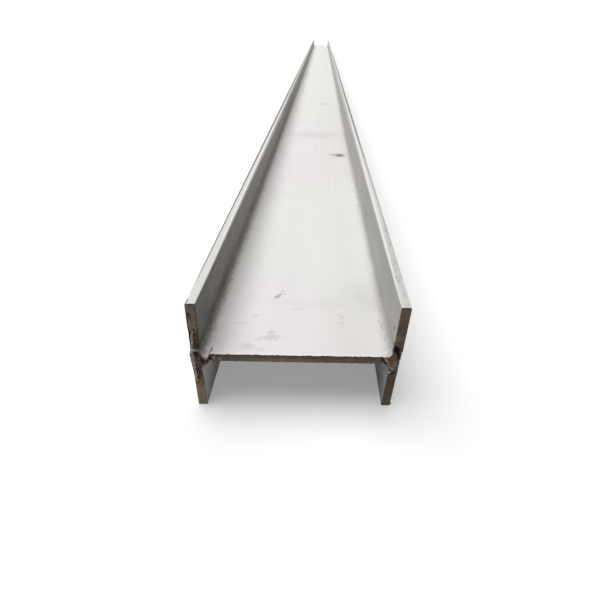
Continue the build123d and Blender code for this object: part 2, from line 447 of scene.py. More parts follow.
# Soot and painted shade on the end face, the shade along the inner edge, in the notch down the outer face, in
# the crevice and in the gap beside the web: how far it reaches from each edge, and where along the edge
STRIP_SOOT_OFF = 0.6 * MM
STRIP_SOOT_REACH = 1.0 * MM
STRIP_SOOT_OVER = 0.1 * MM
STRIP_GAP_PITCH = 3.5 * MM
STRIP_GAP_WANDER_SIZE = 6.0 * MM
INNER_SHADE_REACH = 1.4 * MM
OUTER_SHADE_FADES = (0.6 * MM, 2.4 * MM)
OUTER_SHADE_Z = 117.0 * MM
OUTER_SHADE_HALF = 15.0 * MM
TOE_SOOT_REACH = 1.8 * MM
FOOT_SOOT_REACH = 1.5 * MM
WEB_SOOT_REACH = 1.2 * MM
CREVICE_SHADE_REACH = 1.5 * CREVICE_RADIUS
CREVICE_SHADE_STARTS_Z = (63.0 * MM, 72.0 * MM)
WEB_GAP_SHADE_REACH = 1.8 * MM
WEB_GAP_SHADE_HALF = 18.0 * MM


def strip_soot(x, z):
    """Soot along both edges of the pale strips, and in gaps across them."""
    from_outer = x + OUTER_X
    outer, inner = strip_edges(z)
    inner_edge = bell(from_outer - inner - STRIP_SOOT_OFF, STRIP_SOOT_REACH)
    outer_edge = 1.0 - smooth(outer - STRIP_SOOT_OFF, outer + STRIP_SOOT_OVER, from_outer)
    turns = z * 2 * math.pi / STRIP_GAP_PITCH + 2.0 * rough(0.0, 0.0, z, STRIP_GAP_WANDER_SIZE, 6)
    gaps = smooth(0.75, 0.95, np.sin(turns)) * (from_outer < inner)
    soot = np.maximum.reduce((0.75 * inner_edge, 0.7 * outer_edge, 0.5 * gaps))
    return soot * (inner > 0) * (x < -INNER_X + SHARP)


def edge_soot_and_shade(x, z):
    """Soot along the edges of the end face, and painted shade along its inner edge, in the notch down the
    outer face, in the crevice and in the gap beside the web.
    """
    down_outer = bell(z - OUTER_SHADE_Z, OUTER_SHADE_HALF)
    in_crevice = smooth(*CREVICE_SHADE_STARTS_Z, z)
    edges = (
        0.7 * bell(x + INNER_X, INNER_SHADE_REACH) * (z > ROOT_TOP),
        0.8 * (1.0 - smooth(*OUTER_SHADE_FADES, x + OUTER_X)) * down_outer,
        0.6 * (bell(z - FLANGE_WIDTH, TOE_SOOT_REACH) + bell(z, FOOT_SOOT_REACH)),
        0.5 * bell(z - WEB_TOP, WEB_SOOT_REACH) * (np.abs(x) < FLAT_X),
        bell(crevice_distance(x, z), CREVICE_SHADE_REACH) * in_crevice,
        0.95 * bell(x - WEB_GAP_X, WEB_GAP_SHADE_REACH) * bell(z - WEB_LEVEL, WEB_GAP_SHADE_HALF),
    )
    return np.maximum.reduce(edges)


# Olive scale on the end of the web, the pale rim of the nugget, and the outer skin beside the nugget
WEB_SCALE_STARTS_Z = (WEB_TOP - 1.2 * MM, WEB_TOP - 5.0 * MM)
WEB_SCALE_MIDDLE_X = -7.0 * MM
WEB_SCALE_FADES = (15.0 * MM, 75.0 * MM)
NUGGET_RIM_INSIDE = 1.2 * MM
NUGGET_RIM_HALF = 1.5 * MM
NUGGET_RIM_TOP = WEB_TOP + 2.0 * MM
NUGGET_RIM_ENDS_X = (93.0 * MM, 97.0 * MM)
SKIN_REACH = 1.5 * MM
SKIN_Z = 64.0 * MM
SKIN_HALF = 15.0 * MM


def web_scale(x, z):
    """Olive scale on the end of the web, thicker towards its foot and its middle."""
    down = (np.abs(x) < FLAT_X) * smooth(*WEB_SCALE_STARTS_Z, z)
    return 0.55 * down * (1.0 - 0.7 * smooth(*WEB_SCALE_FADES, np.abs(x - WEB_SCALE_MIDDLE_X)))


def end_masks(x, z):
    """What shows on the end face, as masks from 0 to 1."""
    lip_highlight = lip_highlight_line(x, z)
    run = left_run(x, z)
    rim = bell(inside_nugget(x, z) - NUGGET_RIM_INSIDE, NUGGET_RIM_HALF) * (z < NUGGET_RIM_TOP)
    rim = rim * (1.0 - smooth(*NUGGET_RIM_ENDS_X, x))
    skin = bell(OUTER_X - x, SKIN_REACH) * bell(z - SKIN_Z, SKIN_HALF)
    pale = (blotch(x, z, ASHY_SPOTS, 12), 1.2 * pale_strip(x, z), 0.55 * rim, 0.7 * skin, 0.8 * run)
    black = (blotch(x, z, SOOT_AND_SHADE_SPOTS, 11), strip_soot(x, z), edge_soot_and_shade(x, z))
    return {
        "burnt": np.ones(len(x)),
        "soot_and_shade": np.maximum.reduce(black) * (1.0 - run) * (1.0 - lip_highlight),
        "rusty": blotch(x, z, RUSTY_SPOTS, 13),
        "olive": np.maximum(blotch(x, z, OLIVE_SPOTS, 15), web_scale(x, z)),
        "ashy": np.maximum.reduce(pale),
        "bright": np.maximum(lip_highlight, blotch(x, z, BEAD_SPOTS, 16)),
    }


# The rolled faces, ring by ring behind the end


def stations():
    """Places of the rings behind the torch-cut end, close together near it."""
    places, step = [FIRST_RING], FIRST_RING
    while places[-1] < LENGTH - 1.5 * WIDEST_RING:
        step = min(step * RING_GROWTH, WIDEST_RING)
        places.append(places[-1] + step)
    return places


def ring_normals(x, z):
    """The outward direction of the outline at each of its points."""
    along_x, along_z = np.roll(x, -1) - np.roll(x, 1), np.roll(z, -1) - np.roll(z, 1)
    size = np.hypot(along_x, along_z)
    return along_z / size, -along_x / size


# Nick in the left toe
NICK_PLACE = 14.0 * MM
NICK_REACH = 4.5 * MM
NICK_DEPTH = 1.4 * MM

# What the torch left on the rolled faces: how long behind the end, how wide and how thick
SPATTER_LENGTH = 4.0 * MM
SPATTER_SIZE = 3.0 * MM
SPATTER_HEIGHT = 0.2 * MM
RUN_LENGTH = 22.0 * MM
RUN_THICKNESS = 0.9 * MM
RUN_LUMP_SIZE = 5.0 * MM
RUN_ROOT_X = -FLAT_X - 0.4 * ROOT_RADIUS
RUN_ROOT_HALF = 0.7 * ROOT_RADIUS
SLAG_LENGTH = 8.0 * MM
SLAG_REACH = 9.5 * MM
SLAG_THICKNESS = 3.6 * MM
DROSS_LENGTH = 5.0 * MM
DROSS_LUMP_SIZE = 2.5 * MM
DROSS_THICKNESS = 1.2 * MM
BURR_LENGTH = 4.0 * MM
BURR_REACH = 3.0 * MM
BURR_HEIGHT = 1.2 * MM
BURR_Z = 3.0 * MM
FILLET_MIDDLE = ROOT_RADIUS * math.sqrt(0.5)

# Slow waves of the rolled faces
WAVE_LENGTH = 350.0 * MM
WAVE_HEIGHT = 0.12 * MM


def side_swell(x, z, normal_z, place):
    """How far the rolled faces stand out: zinc and slag on the roots, dross, a burr and slow waves."""
    upper = z > WEB_LEVEL
    swell = SPATTER_HEIGHT * rough(x, place, z, SPATTER_SIZE, 21) * bell(place, SPATTER_LENGTH)
    left_root = bell(x - RUN_ROOT_X, RUN_ROOT_HALF) * upper
    lumps = 1.0 + 0.4 * rough(x, place, z, RUN_LUMP_SIZE, 22)
    swell += RUN_THICKNESS * left_root * bell(place, RUN_LENGTH) * lumps
    right_root = bell(np.hypot(x - FLAT_X - FILLET_MIDDLE, z - ROOT_TOP + FILLET_MIDDLE), SLAG_REACH)
    swell += SLAG_THICKNESS * right_root * upper * (x < INNER_X + SHARP) * bell(place, SLAG_LENGTH)
    under_web = (normal_z < -0.5) * (np.abs(x) < FLAT_X)
    dross = 0.75 + 0.5 * rough(x, place, z, DROSS_LUMP_SIZE, 24)
    swell += DROSS_THICKNESS * under_web * bell(place, DROSS_LENGTH) * np.maximum(dross, 0.0)
    swell += BURR_HEIGHT * bell(np.hypot(x - OUTER_X, z - BURR_Z), BURR_REACH) * bell(place, BURR_LENGTH)
    return swell + WAVE_HEIGHT * rough(x, place, z, WAVE_LENGTH, 23)


def ring_at(x, z, depth, normals, place):
    """One ring of points round the beam."""
    normal_x, normal_z = normals
    swell = side_swell(x, z, normal_z, place)
    corner = np.hypot(x + OUTER_X, z - FLANGE_WIDTH)
    nick = NICK_DEPTH * bell(corner, NICK_REACH) * bell(place - NICK_PLACE, NICK_REACH)
    y = TORCH_END_Y + place + depth * (1.0 - smooth(0.0, END_FADE, place))
    heights = np.maximum(z + normal_z * swell - nick, 0.0)
    return np.column_stack((x + normal_x * swell + nick, y, heights))


def fading(place, distance):
    """1 at the torch-cut end, and about a third at that distance behind it."""
    return math.exp(-place / distance)


# Brown dirt and painted shade from the web up the roots and walls, the shade darkening the left root, and the
# right fillet where it faces the light:
# how far above the top of the root, in millimetres, and the share that is covered near the torch-cut end and
# far behind it
LEFT_WAYS = (-14.0, -10.0, -6.0, -3.0, 2.0, 7.0, 10.0, 14.0, 24.0, 40.0)
NEAR_LEFT_SHARES = (0.0, 0.14, 0.51, 0.68, 0.77, 0.98, 0.97, 0.80, 0.64, 0.52)
FAR_LEFT_SHARES = (0.0, 0.18, 0.50, 0.64, 0.77, 0.87, 0.88, 0.75, 0.60, 0.54)
RIGHT_WAYS = (-30.0, -20.0, -14.0, -11.0, -8.0, -6.0, -3.0, 0.0, 5.0, 7.5, 9.0, 10.5, 13.0, 25.0)
NEAR_RIGHT_SHARES = (0.0, 0.0, 0.0, 0.06, 0.15, 0.18, 0.10, 0.0, 0.02, 0.07, 0.14, 0.08, 0.03, 0.02)
FAR_RIGHT_SHARES = (0.03, 0.07, 0.12, 0.25, 0.38, 0.38, 0.24, 0.11, 0.04, 0.03, 0.02, 0.01, 0.0, 0.0)

# Places between which the dirt changes, and the cleaner stretch of the left root
LEFT_TURNS_FAR = (0.06, 0.35)
LEFT_CLEARS = (0.9, 2.4)
RIGHT_NEAR_CLEARS = (0.06, 0.14)
RIGHT_TURNS_FAR = (0.2, 0.9)
RIGHT_CLEARS = (0.9, 2.0)
CLEAN_ROOT_HALF = 6.0 * MM
CLEAN_ROOT_FADE = 12.0 * MM
LEAST_RUN = 0.001 * MM  # keeps the angle at 90 degrees over the flat web


def way_up(x, z):
    """How far above the top of the upper roots a point lies, along the profile."""
    angle = np.arctan2(np.maximum(ROOT_TOP - z, 0.0), np.maximum(np.abs(x) - FLAT_X, LEAST_RUN))
    return np.maximum(z - ROOT_TOP, 0.0) - ROOT_RADIUS * angle - np.maximum(FLAT_X - np.abs(x), 0.0)


def left_dirt_and_shade(way, place):
    """Share of the left root and wall that is covered with brown dirt and painted shade."""
    near = np.interp(way / MM, LEFT_WAYS, NEAR_LEFT_SHARES)
    far = np.interp(way / MM, LEFT_WAYS, FAR_LEFT_SHARES)
    cleaner = 0.3 * bell(way, CLEAN_ROOT_HALF) * fading(place, CLEAN_ROOT_FADE)
    cleaner = cleaner + 0.34 * smooth(*LEFT_CLEARS, place)
    return (near + (far - near) * smooth(*LEFT_TURNS_FAR, place)) * (1.0 - cleaner)


def right_dirt_and_shade(way, place):
    """Share of the right root and wall that is covered with brown dirt and painted shade."""
    near = np.interp(way / MM, RIGHT_WAYS, NEAR_RIGHT_SHARES)
    near *= 1.0 - 0.65 * smooth(*RIGHT_NEAR_CLEARS, place)
    far = np.interp(way / MM, RIGHT_WAYS, FAR_RIGHT_SHARES)
    far *= 1.0 - 0.4 * smooth(*RIGHT_CLEARS, place)
    return near + (far - near) * smooth(*RIGHT_TURNS_FAR, place)


# Chalky bloom, with painted light: thicker on the left of the web to lift the shade that the left flange
# casts, and a painted highlight along the cut edge; where it changes across the web and along it
WEB_FACE_X = 68.0 * MM
BLOOM_LEFT_FADE = 0.1
BLOOM_RIGHT_FADE = 0.15
BLOOM_GAP_PLACE = 0.1
BLOOM_GAP_HALF = 0.13
EDGE_HIGHLIGHT_PLACE = 1.6 * MM
EDGE_HIGHLIGHT_HALF = 3.0 * MM


def bloom_and_light_share(x, normal_z, between, toe, place):
    """Bloom on the faces that look up, thinner to the right and on the toes; thicker on the left of the web
    as painted light, and thicker along the cut edge as a painted highlight.
    """
    left = 0.08 * fading(place, BLOOM_LEFT_FADE)
    middle = (0.31 - left) * smooth(-WEB_FACE_X, -WEB_FACE_X / 3, x)
    gap = 0.2 * bell(place - BLOOM_GAP_PLACE, BLOOM_GAP_HALF)
    right = 0.18 + 0.1 * fading(place, BLOOM_RIGHT_FADE) + gap
    edge_highlight = 0.16 * bell(place - EDGE_HIGHLIGHT_PLACE, EDGE_HIGHLIGHT_HALF)
    missing = between * (left + middle + right * smooth(0.0, FLAT_X, x) - edge_highlight)
    missing += np.where(x < 0, 0.52, 0.71) * toe
    return smooth(0.15, 0.95, normal_z) * (1.0 - missing)


# Dark soil, with painted shade up the left wall that faces away from the light: where it starts up the walls,
# and how far behind the end it has faded
LEFT_SOIL_AND_SHADE_STARTS = (-5.0 * MM, 5.0 * MM)
LEFT_SOIL_AND_SHADE_FADE = 0.17
LEFT_HEAP_WAY = 9.0 * MM
LEFT_HEAP_HALF = 9.0 * MM
LEFT_HEAP_FADE = 0.02
RIGHT_SOIL_STARTS = (-4.0 * MM, 7.0 * MM)
RIGHT_SOIL_FADE = 0.25
RIGHT_HEAP_WAY = 8.0 * MM
RIGHT_HEAP_HALF = 6.0 * MM
TOE_SOIL_X = OUTER_X - 4.0 * MM
TOE_SOIL_HALF = 4.0 * MM
TOE_SOIL_PLACE = 0.085
TOE_SOIL_LENGTH = 0.2


def soil_and_shade_share(x, way, left, right, toe, place):
    """Dark soil and painted shade up the left wall, dark soil up the right wall and on the right toe, thicker
    near the torch-cut end.
    """
    soil_and_shade = left * 0.78 * smooth(*LEFT_SOIL_AND_SHADE_STARTS, way) * fading(place, LEFT_SOIL_AND_SHADE_FADE)
    soil_and_shade += left * 0.3 * bell(way - LEFT_HEAP_WAY, LEFT_HEAP_HALF) * fading(place, LEFT_HEAP_FADE)
    thickness = 0.16 + 0.06 * bell(way - RIGHT_HEAP_WAY, RIGHT_HEAP_HALF)
    soil_and_shade += right * thickness * smooth(*RIGHT_SOIL_STARTS, way) * fading(place, RIGHT_SOIL_FADE)
    on_toe = bell(x - TOE_SOIL_X, TOE_SOIL_HALF) * toe
    return soil_and_shade + 0.22 * on_toe * bell(place - TOE_SOIL_PLACE, TOE_SOIL_LENGTH)


# Worn rim along the inner edge of each toe, widening down the walls with distance as a painted highlight,
# and a line of painted shade along the rounded outer edge: the width at the torch-cut end, the growth to a
# metre and the widest
RIM_START_WIDTH = 0.5 * MM
LEFT_RIM_GROWTH = 16.0 * MM
LEFT_RIM_WIDEST = 14.0 * MM
RIGHT_RIM_GROWTH = 17.0 * MM
RIGHT_RIM_WIDEST = 32.0 * MM
RIM_ENDS_ON_TOE = (1.5 * MM, 5.0 * MM)
TOE_LINE_START = 1.5 * MM
TOE_LINE_GROWTH = 4.5 * MM
TOE_LINE_WIDEST = 7.0 * MM
LEFT_LINE_STARTS = (0.02, 0.07)
RIGHT_LINE_STARTS = (0.02, 0.2)
RIGHT_LINE_DARKENS = (0.25, 0.8)


def rim_wear_and_highlight(x, z, place):
    """The bright rim, on the wall and on the toe: wear at the edge, and a painted highlight down the wall."""
    left = min(RIM_START_WIDTH + LEFT_RIM_GROWTH * place, LEFT_RIM_WIDEST)
    right = min(RIM_START_WIDTH + RIGHT_RIM_GROWTH * place, RIGHT_RIM_WIDEST)
    width = np.where(x < 0, left, right)
    from_edge = np.hypot(np.abs(x) - INNER_X, FLANGE_WIDTH - z)
    bright = 0.85 * (1.0 - smooth(0.5 * width, 1.2 * width, from_edge))
    return bright * (1.0 - smooth(*RIM_ENDS_ON_TOE, np.abs(x) - INNER_X))


def toe_shade_line(x, toe, place):
    """The painted shade along the rounded outer edge, fainter on the right."""
    width = min(TOE_LINE_START + TOE_LINE_GROWTH * place, TOE_LINE_WIDEST)
    left = smooth(*LEFT_LINE_STARTS, place)
    right = 0.45 * smooth(*RIGHT_LINE_STARTS, place) + 0.5 * smooth(*RIGHT_LINE_DARKENS, place)
    line = toe * (1.0 - smooth(0.5 * width, 1.2 * width, OUTER_X - np.abs(x)))
    return line * np.where(x < 0, left, right)


# Bands of lilac and greenish bloom: place and half length in metres, strength
LILAC_BANDS = ((0.0, 0.22, 1.0), (0.75, 0.4, 1.0), (0.32, 0.2, -0.9))
LILAC_FADES = (1.2, 2.0)


def lilac_share(x, toe, place):
    """Where the bloom is lilac, and not greenish."""
    bands = sum(strength * bell(place - middle, half) for middle, half, strength in LILAC_BANDS)
    bands = bands - 0.6 * smooth(*LILAC_FADES, place)
    return np.clip(0.5 + 0.5 * bands - 0.35 * smooth(0.0, FLAT_X, x) - 0.4 * toe, 0.0, 1.0)


# Burnt skin that laps over the slag on the right root and over the top edge of the web
SLAG_LEFT_X = WEB_GAP_X + 1.0 * MM
SLAG_X = 88.8 * MM
SLAG_Z = 72.0 * MM
SLAG_FADES = (3.0 * MM, 5.0 * MM)
SLAG_LAP_ENDS = (2.5 * MM, 4.5 * MM)
SLAG_LAP_RAGGED = 1.0 * MM
SLAG_LAP_SIZE = 2.0 * MM
WEB_LAP_ENDS = (-0.05 * MM, 0.95 * MM)
WEB_LAP_RAGGED = 1.2 * MM
WEB_LAP_SIZE = 2.4 * MM


def burnt_lap(x, z, normal_z, place):
    """The burnt skin on the rolled faces, ragged where it ends."""
    on_slag = (x > SLAG_LEFT_X) * (1.0 - smooth(*SLAG_FADES, np.hypot(x - SLAG_X, z - SLAG_Z)))
    slag_place = place + SLAG_LAP_RAGGED * rough(x, place, z, SLAG_LAP_SIZE, 25)
    on_web = (normal_z > 0.9) * (np.abs(x) < FLAT_X) * (z > WEB_LEVEL)
    web_place = place + WEB_LAP_RAGGED * rough(x, place, z, WEB_LAP_SIZE, 26)
    slag = on_slag * (1.0 - smooth(*SLAG_LAP_ENDS, slag_place))
    return slag + on_web * (1.0 - smooth(*WEB_LAP_ENDS, web_place))


RAGGED_ENDS = (-1.0 * MM, 5.0 * MM)  # how far up the walls the dirt is blotted
NEAR_FADE = 0.12  # of the brushed stretch behind the end


def side_masks(x, z, normal_z, place):
    """Finish of the rolled faces: chalky where they face up, soiled up the flanges, worn along the toes, with
    painted light and shade in the bloom, the dirt, the soil, the rim and the toe line.
    """
    between = np.abs(x) < INNER_X + SHARP
    upper = z > WEB_LEVEL
    left, right = between * upper * (x < 0), between * upper * (x > 0)
    toe = (np.abs(x) > INNER_X) * (FLANGE_WIDTH - z < TOE_RADIUS)
    way = way_up(x, z)
    return {
        "burnt": burnt_lap(x, z, normal_z, place),
        "bloom_and_light": bloom_and_light_share(x, normal_z, between, toe, place),
        "brown_dirt_and_shade": left * left_dirt_and_shade(way, place) + right * right_dirt_and_shade(way, place),
        "soil_and_shade": soil_and_shade_share(x, way, left, right, toe, place),
        "lilac": lilac_share(x, toe, place),
        "bright": rim_wear_and_highlight(x, z, place),
        "near": np.full(len(x), fading(place, NEAR_FADE)),
        "edge_shade": toe_shade_line(x, toe, place),
        "ragged": 1.0 - 0.75 * smooth(*RAGGED_ENDS, way) * (1.0 - toe),
    }


MASKS = ("burnt", "sawn", "soot_and_shade", "rusty", "olive", "ashy", "bright",
         "bloom_and_light", "brown_dirt_and_shade", "soil_and_shade", "lilac", "near", "edge_shade", "ragged")

# Map of the surface on a unit square: the rolled faces low down, opened out and drawn together
# far behind the torch-cut end, and the two end faces side by side above them
MAP_NAME = "OFBake"
MAP_MARGIN = 0.01
MAP_SIDES_HIGH = 0.54
MAP_DRAWN_TOGETHER = 0.1  # distance behind the end by which the scale has halved
MAP_NEAR_CORNER = (0.02, 0.57)
MAP_NEAR_SCALE = 3.0  # of the square to a metre
MAP_FAR_CORNER = (0.67, 0.57)
MAP_FAR_SCALE = 1.5


def map_places(points, faces, ring, places):
    """Where each corner of each face lies on the map, in the order of the faces."""
    from_corner = points + np.array((OUTER_X, 0.0))
    corners = np.array(faces)
    near = (MAP_NEAR_CORNER + MAP_NEAR_SCALE * from_corner)[corners]
    far = (MAP_FAR_CORNER + MAP_FAR_SCALE * from_corner)[corners[:, ::-1]]
    steps = np.diff(points[np.append(ring, ring[0])], axis=0)
    around = np.append(0.0, np.cumsum(np.hypot(steps[:, 0], steps[:, 1])))
    u = MAP_MARGIN + (1.0 - 2 * MAP_MARGIN) * around / around[-1]
    behind = np.log1p(np.array([0.0, *places, LENGTH]) / MAP_DRAWN_TOGETHER)
    v = MAP_MARGIN + (MAP_SIDES_HIGH - MAP_MARGIN) * behind / behind[-1]
    sides = np.empty((len(v) - 1, len(ring), 4, 2))
    sides[..., 0] = np.column_stack((u[1:], u[:-1], u[:-1], u[1:]))
    sides[..., 1] = np.column_stack((v[:-1], v[:-1], v[1:], v[1:]))[:, None]
    return np.concatenate((near, sides.reshape(-1, 4, 2), far))


def paint(mesh, points, ring, rings, places):
    """Gives each point of the mesh its masks."""
    x, z = points[:, 0], points[:, 1]
    edge_x, edge_z = x[ring], z[ring]
    normal_z = ring_normals(edge_x, edge_z)[1]
    values = {name: np.zeros(len(mesh.vertices)) for name in MASKS}
    values["sawn"][-len(points):] = 1.0
    for name, found in end_masks(x, z).items():
        values[name][:len(points)] = found
    for indices, place in zip(rings, [0.0, *places, LENGTH]):
        for name, found in side_masks(edge_x, edge_z, normal_z, place).items():
            values[name][indices] = np.maximum(values[name][indices], found)
    for name, found in values.items():
        mesh.attributes.new(name, "FLOAT", "POINT").data.foreach_set("value", found)


def beam_mesh():
    """The whole beam as one closed mesh: the torch-cut face, the rings of the rolled faces, the sawn face."""
    points, faces = section_grid()
    ring = outline_of(faces)
    x, z = points[:, 0], points[:, 1]
    edge_x, edge_z = x[ring], z[ring]
    normals = ring_normals(edge_x, edge_z)
    depth = end_depth(x, z)
    near_face = np.column_stack((x, TORCH_END_Y + depth, z))
    near_face[ring] = ring_at(edge_x, edge_z, depth[ring], normals, 0.0)
    far_face = np.column_stack((x, np.full(len(x), SAWN_END_Y), z))
    places = stations()
    layers = [near_face]
    layers += [ring_at(edge_x, edge_z, depth[ring], normals, place) for place in places]
    layers.append(far_face)
    rings = [ring] + [len(points) + step * len(ring) + np.arange(len(ring)) for step in range(len(places))]
    far_start = len(points) + len(places) * len(ring)
    rings.append(far_start + ring)

    quads = list(faces)
    for here, there in zip(rings, rings[1:]):
        quads += zip(np.roll(here, -1), here, there, np.roll(there, -1))
    quads += [tuple(corner + far_start for corner in face[::-1]) for face in faces]
    mesh = bpy.data.meshes.new("h_beam_steel")
    mesh.from_pydata(np.vstack(layers).tolist(), [], [tuple(map(int, quad)) for quad in quads])
    paint(mesh, points, ring, rings, places)
    layer = mesh.uv_layers.new(name=MAP_NAME)
    layer.data.foreach_set("uv", map_places(points, faces, ring, places).ravel())
    mesh.update()
    return mesh


# Short ways to add shader nodes


def node(tree, kind, inputs=(), **settings):
    """A node with these settings, and with a value or a link for each named or numbered input."""
    made = tree.nodes.new(kind)
    for name, value in settings.items():
        setattr(made, name, value)
    for name, value in dict(inputs).items():
        if isinstance(value, bpy.types.NodeSocket):
            tree.links.new(value, made.inputs[name])
        else:
            made.inputs[name].default_value = value
    return made


def math_of(tree, operation, a, b):
    return node(tree, "ShaderNodeMath", {0: a, 1: b}, operation=operation).outputs[0]


def mix(tree, share, a, b):
    """Colour a turning into colour b as the share goes from 0 to 1."""
    a, b = ((*colour, 1.0) if isinstance(colour, tuple) else colour for colour in (a, b))
    return node(tree, "ShaderNodeMix", {0: share, 6: a, 7: b}, data_type="RGBA").outputs[2]


def fit(tree, value, low, high, new_low=0.0, new_high=1.0):
    """value from low to high, moved softly to new_low to new_high."""
    inputs = {"Value": value, "From Min": low, "From Max": high, "To Min": new_low, "To Max": new_high}
    return node(tree, "ShaderNodeMapRange", inputs, interpolation_type="SMOOTHSTEP").outputs["Result"]


def grain(tree, where, size, detail=3.0, stretch=(1.0, 1.0, 1.0)):
    """Noise from 0 to 1 with lumps of that size, drawn out along an axis by stretch."""
    scale = tuple(1.0 / (size * factor) for factor in stretch)
    placed = node(tree, "ShaderNodeMapping", {"Vector": where, "Scale": scale}).outputs[0]
    inputs = {"Vector": placed, "Scale": 1.0, "Detail": detail, "Roughness": 0.55}
    return node(tree, "ShaderNodeTexNoise", inputs).outputs["Fac"]


def mask(tree, name, strength=None):
    """One of the masks of the mesh, weakened where a strength is given."""
    found = node(tree, "ShaderNodeAttribute", attribute_name=name).outputs["Fac"]
    return found if strength is None else math_of(tree, "MULTIPLY", found, strength)


# Marks on the rolled faces, in millimetres: x, place and z of the centre, half sizes, turn about Z, strength
WEB_MM, TOE_MM, WALL_MM = WEB_TOP / MM, FLANGE_WIDTH / MM, INNER_X / MM
DARK_MARKS = (
    ((68, 720, WEB_MM), (17, 19, 3), -20, 0.85),
    ((52, 723, WEB_MM), (14, 9, 3), -15, 0.45),
    ((-28.5, 112.3, WEB_MM), (9, 3.6, 3), 51, 0.5),
    ((-23.3, 123.2, WEB_MM), (5.5, 1.4, 3), 32, 0.3),
    ((46.6, 81.6, WEB_MM), (5.4, 1.3, 3), -35, 0.25),
    ((47.2, 77.0, WEB_MM), (4.6, 1.3, 3), 25, 0.23),
    ((44.2, 68.2, WEB_MM), (3.8, 1.3, 3), 46, 0.2),
    ((48.4, 68.2, WEB_MM), (3.8, 1.3, 3), -50, 0.2),
    ((-29, 38.8, WEB_MM), (14, 6, 3), 6, 0.22),
    ((-30, 46.3, WEB_MM), (6, 5, 3), 10, 0.2),
    ((-41, 35, WEB_MM), (8, 3, 3), 5, 0.16),
    ((-51, 23.5, WEB_MM), (10, 7, 3), 0, 0.17),
    ((-38, 20, WEB_MM), (9, 4, 3), 0, 0.13),
    ((-66, 58.6, WEB_MM), (10, 1.3, 3), 4, 0.2),
    ((-50.6, 73.2, WEB_MM), (6, 1.8, 3), 10, 0.26),
    ((-4.4, 90, WEB_MM), (11, 3, 3), 0, 0.1),
    ((10, 100, WEB_MM), (50, 12, 3), 3, 0.05),
    ((68.8, 120, WEB_MM), (11, 11, 3), 0, 0.08),
    ((4, 920, WEB_MM), (95, 48, 3), 4, 0.13),
    ((35, 1439, WEB_MM), (22, 18, 3), 0, 0.25),
    ((-86.7, 13, WEB_MM), (0.95, 14.5, 3), -4, 0.8),
    ((-103.6, 8, TOE_MM), (2, 9, 4), 0, 1),
    ((-WALL_MM, 14, 118.5), (2, 1.6, 1.6), 0, 0.85),
    ((-WALL_MM, 75.4, 129.5), (2.5, 4.5, 3.5), 0, 0.9),
    ((-WALL_MM, 77, 101.4), (2.5, 3.2, 3.6), 0, 0.8),
    ((-91.6, 101, 75.5), (3.5, 4, 4), 0, 0.85),
    ((WALL_MM, 17.4, 90.4), (2.5, 3.4, 3.2), 0, 0.95),
    ((WALL_MM, 28, 102), (2.5, 2.6, 2.6), 0, 0.85),
    ((WALL_MM, 309, 97.6), (3, 8, 3.5), 0, 0.75),
    ((96.8, 70, TOE_MM), (1.3, 2.2, 3), 0, 0.6),
    ((97.6, 63, TOE_MM), (1.2, 1.8, 3), 0, 0.6),
)
# Painted highlights on the zinc run of the left root and on the slag of the right root
HIGHLIGHT_MARKS = (
    ((-90.2, 15, 72.0), (3, 6, 3), 0, 0.5),
    ((89.9, 25, 71.5), (2, 3, 3), 0, 0.4),
)
MARK_EDGE_SIZE = 3.5 * MM  # of the lumps in their ragged edges


def marks(tree, where, listed):
    """Scuffs, stains, dots and painted highlights, ragged at their edges."""
    ragged = fit(tree, grain(tree, where, MARK_EDGE_SIZE, detail=4.0), 0.3, 0.7, 0.55, 1.5)
    total = None
    for (x, place, z), half, turn, strength in listed:
        centre = (x * MM, TORCH_END_Y + place * MM, z * MM)
        half = tuple(size * MM for size in half)
        moved = node(tree, "ShaderNodeVectorMath", {0: where, 1: centre}, operation="SUBTRACT").outputs[0]
        inputs = {"Vector": moved, "Angle": -turn * DEGREE}
        turned = node(tree, "ShaderNodeVectorRotate", inputs, rotation_type="Z_AXIS").outputs[0]
        shrunk = node(tree, "ShaderNodeVectorMath", {0: turned, 1: half}, operation="DIVIDE").outputs[0]
        reach = node(tree, "ShaderNodeVectorMath", {0: shrunk}, operation="LENGTH").outputs["Value"]
        here = fit(tree, math_of(tree, "MULTIPLY", reach, ragged), 0.25, 1.1, strength, 0.0)
        total = here if total is None else math_of(tree, "MAXIMUM", total, here)
    return total


# Colours, as linear light
LILAC_ZINC = (0.90, 0.865, 0.878)
GREENISH_ZINC = (0.885, 0.895, 0.858)
DULL_ZINC = (0.612, 0.599, 0.578)
PATINA = (0.54, 0.528, 0.508)
WORN_ZINC_AND_HIGHLIGHT = (0.86, 0.85, 0.83)
GREY_DIRT_AND_SHADE = (0.10, 0.10, 0.092)
DARK_SOIL_AND_SHADE = (0.066, 0.071, 0.062)
BROWN_DIRT_AND_SHADE = (0.13, 0.10, 0.07)
PALE_OXIDE = (0.15, 0.106, 0.074)
DARK_OXIDE = (0.09, 0.062, 0.044)
OLIVE_OXIDE = (0.25, 0.21, 0.155)
RUST = (0.14, 0.075, 0.040)
SOOT_AND_SHADE = (0.013, 0.007, 0.003)
ASH = (0.47, 0.405, 0.335)
SAWN_STEEL = (0.36, 0.35, 0.34)
SAWN_LINES = (0.46, 0.44, 0.41)

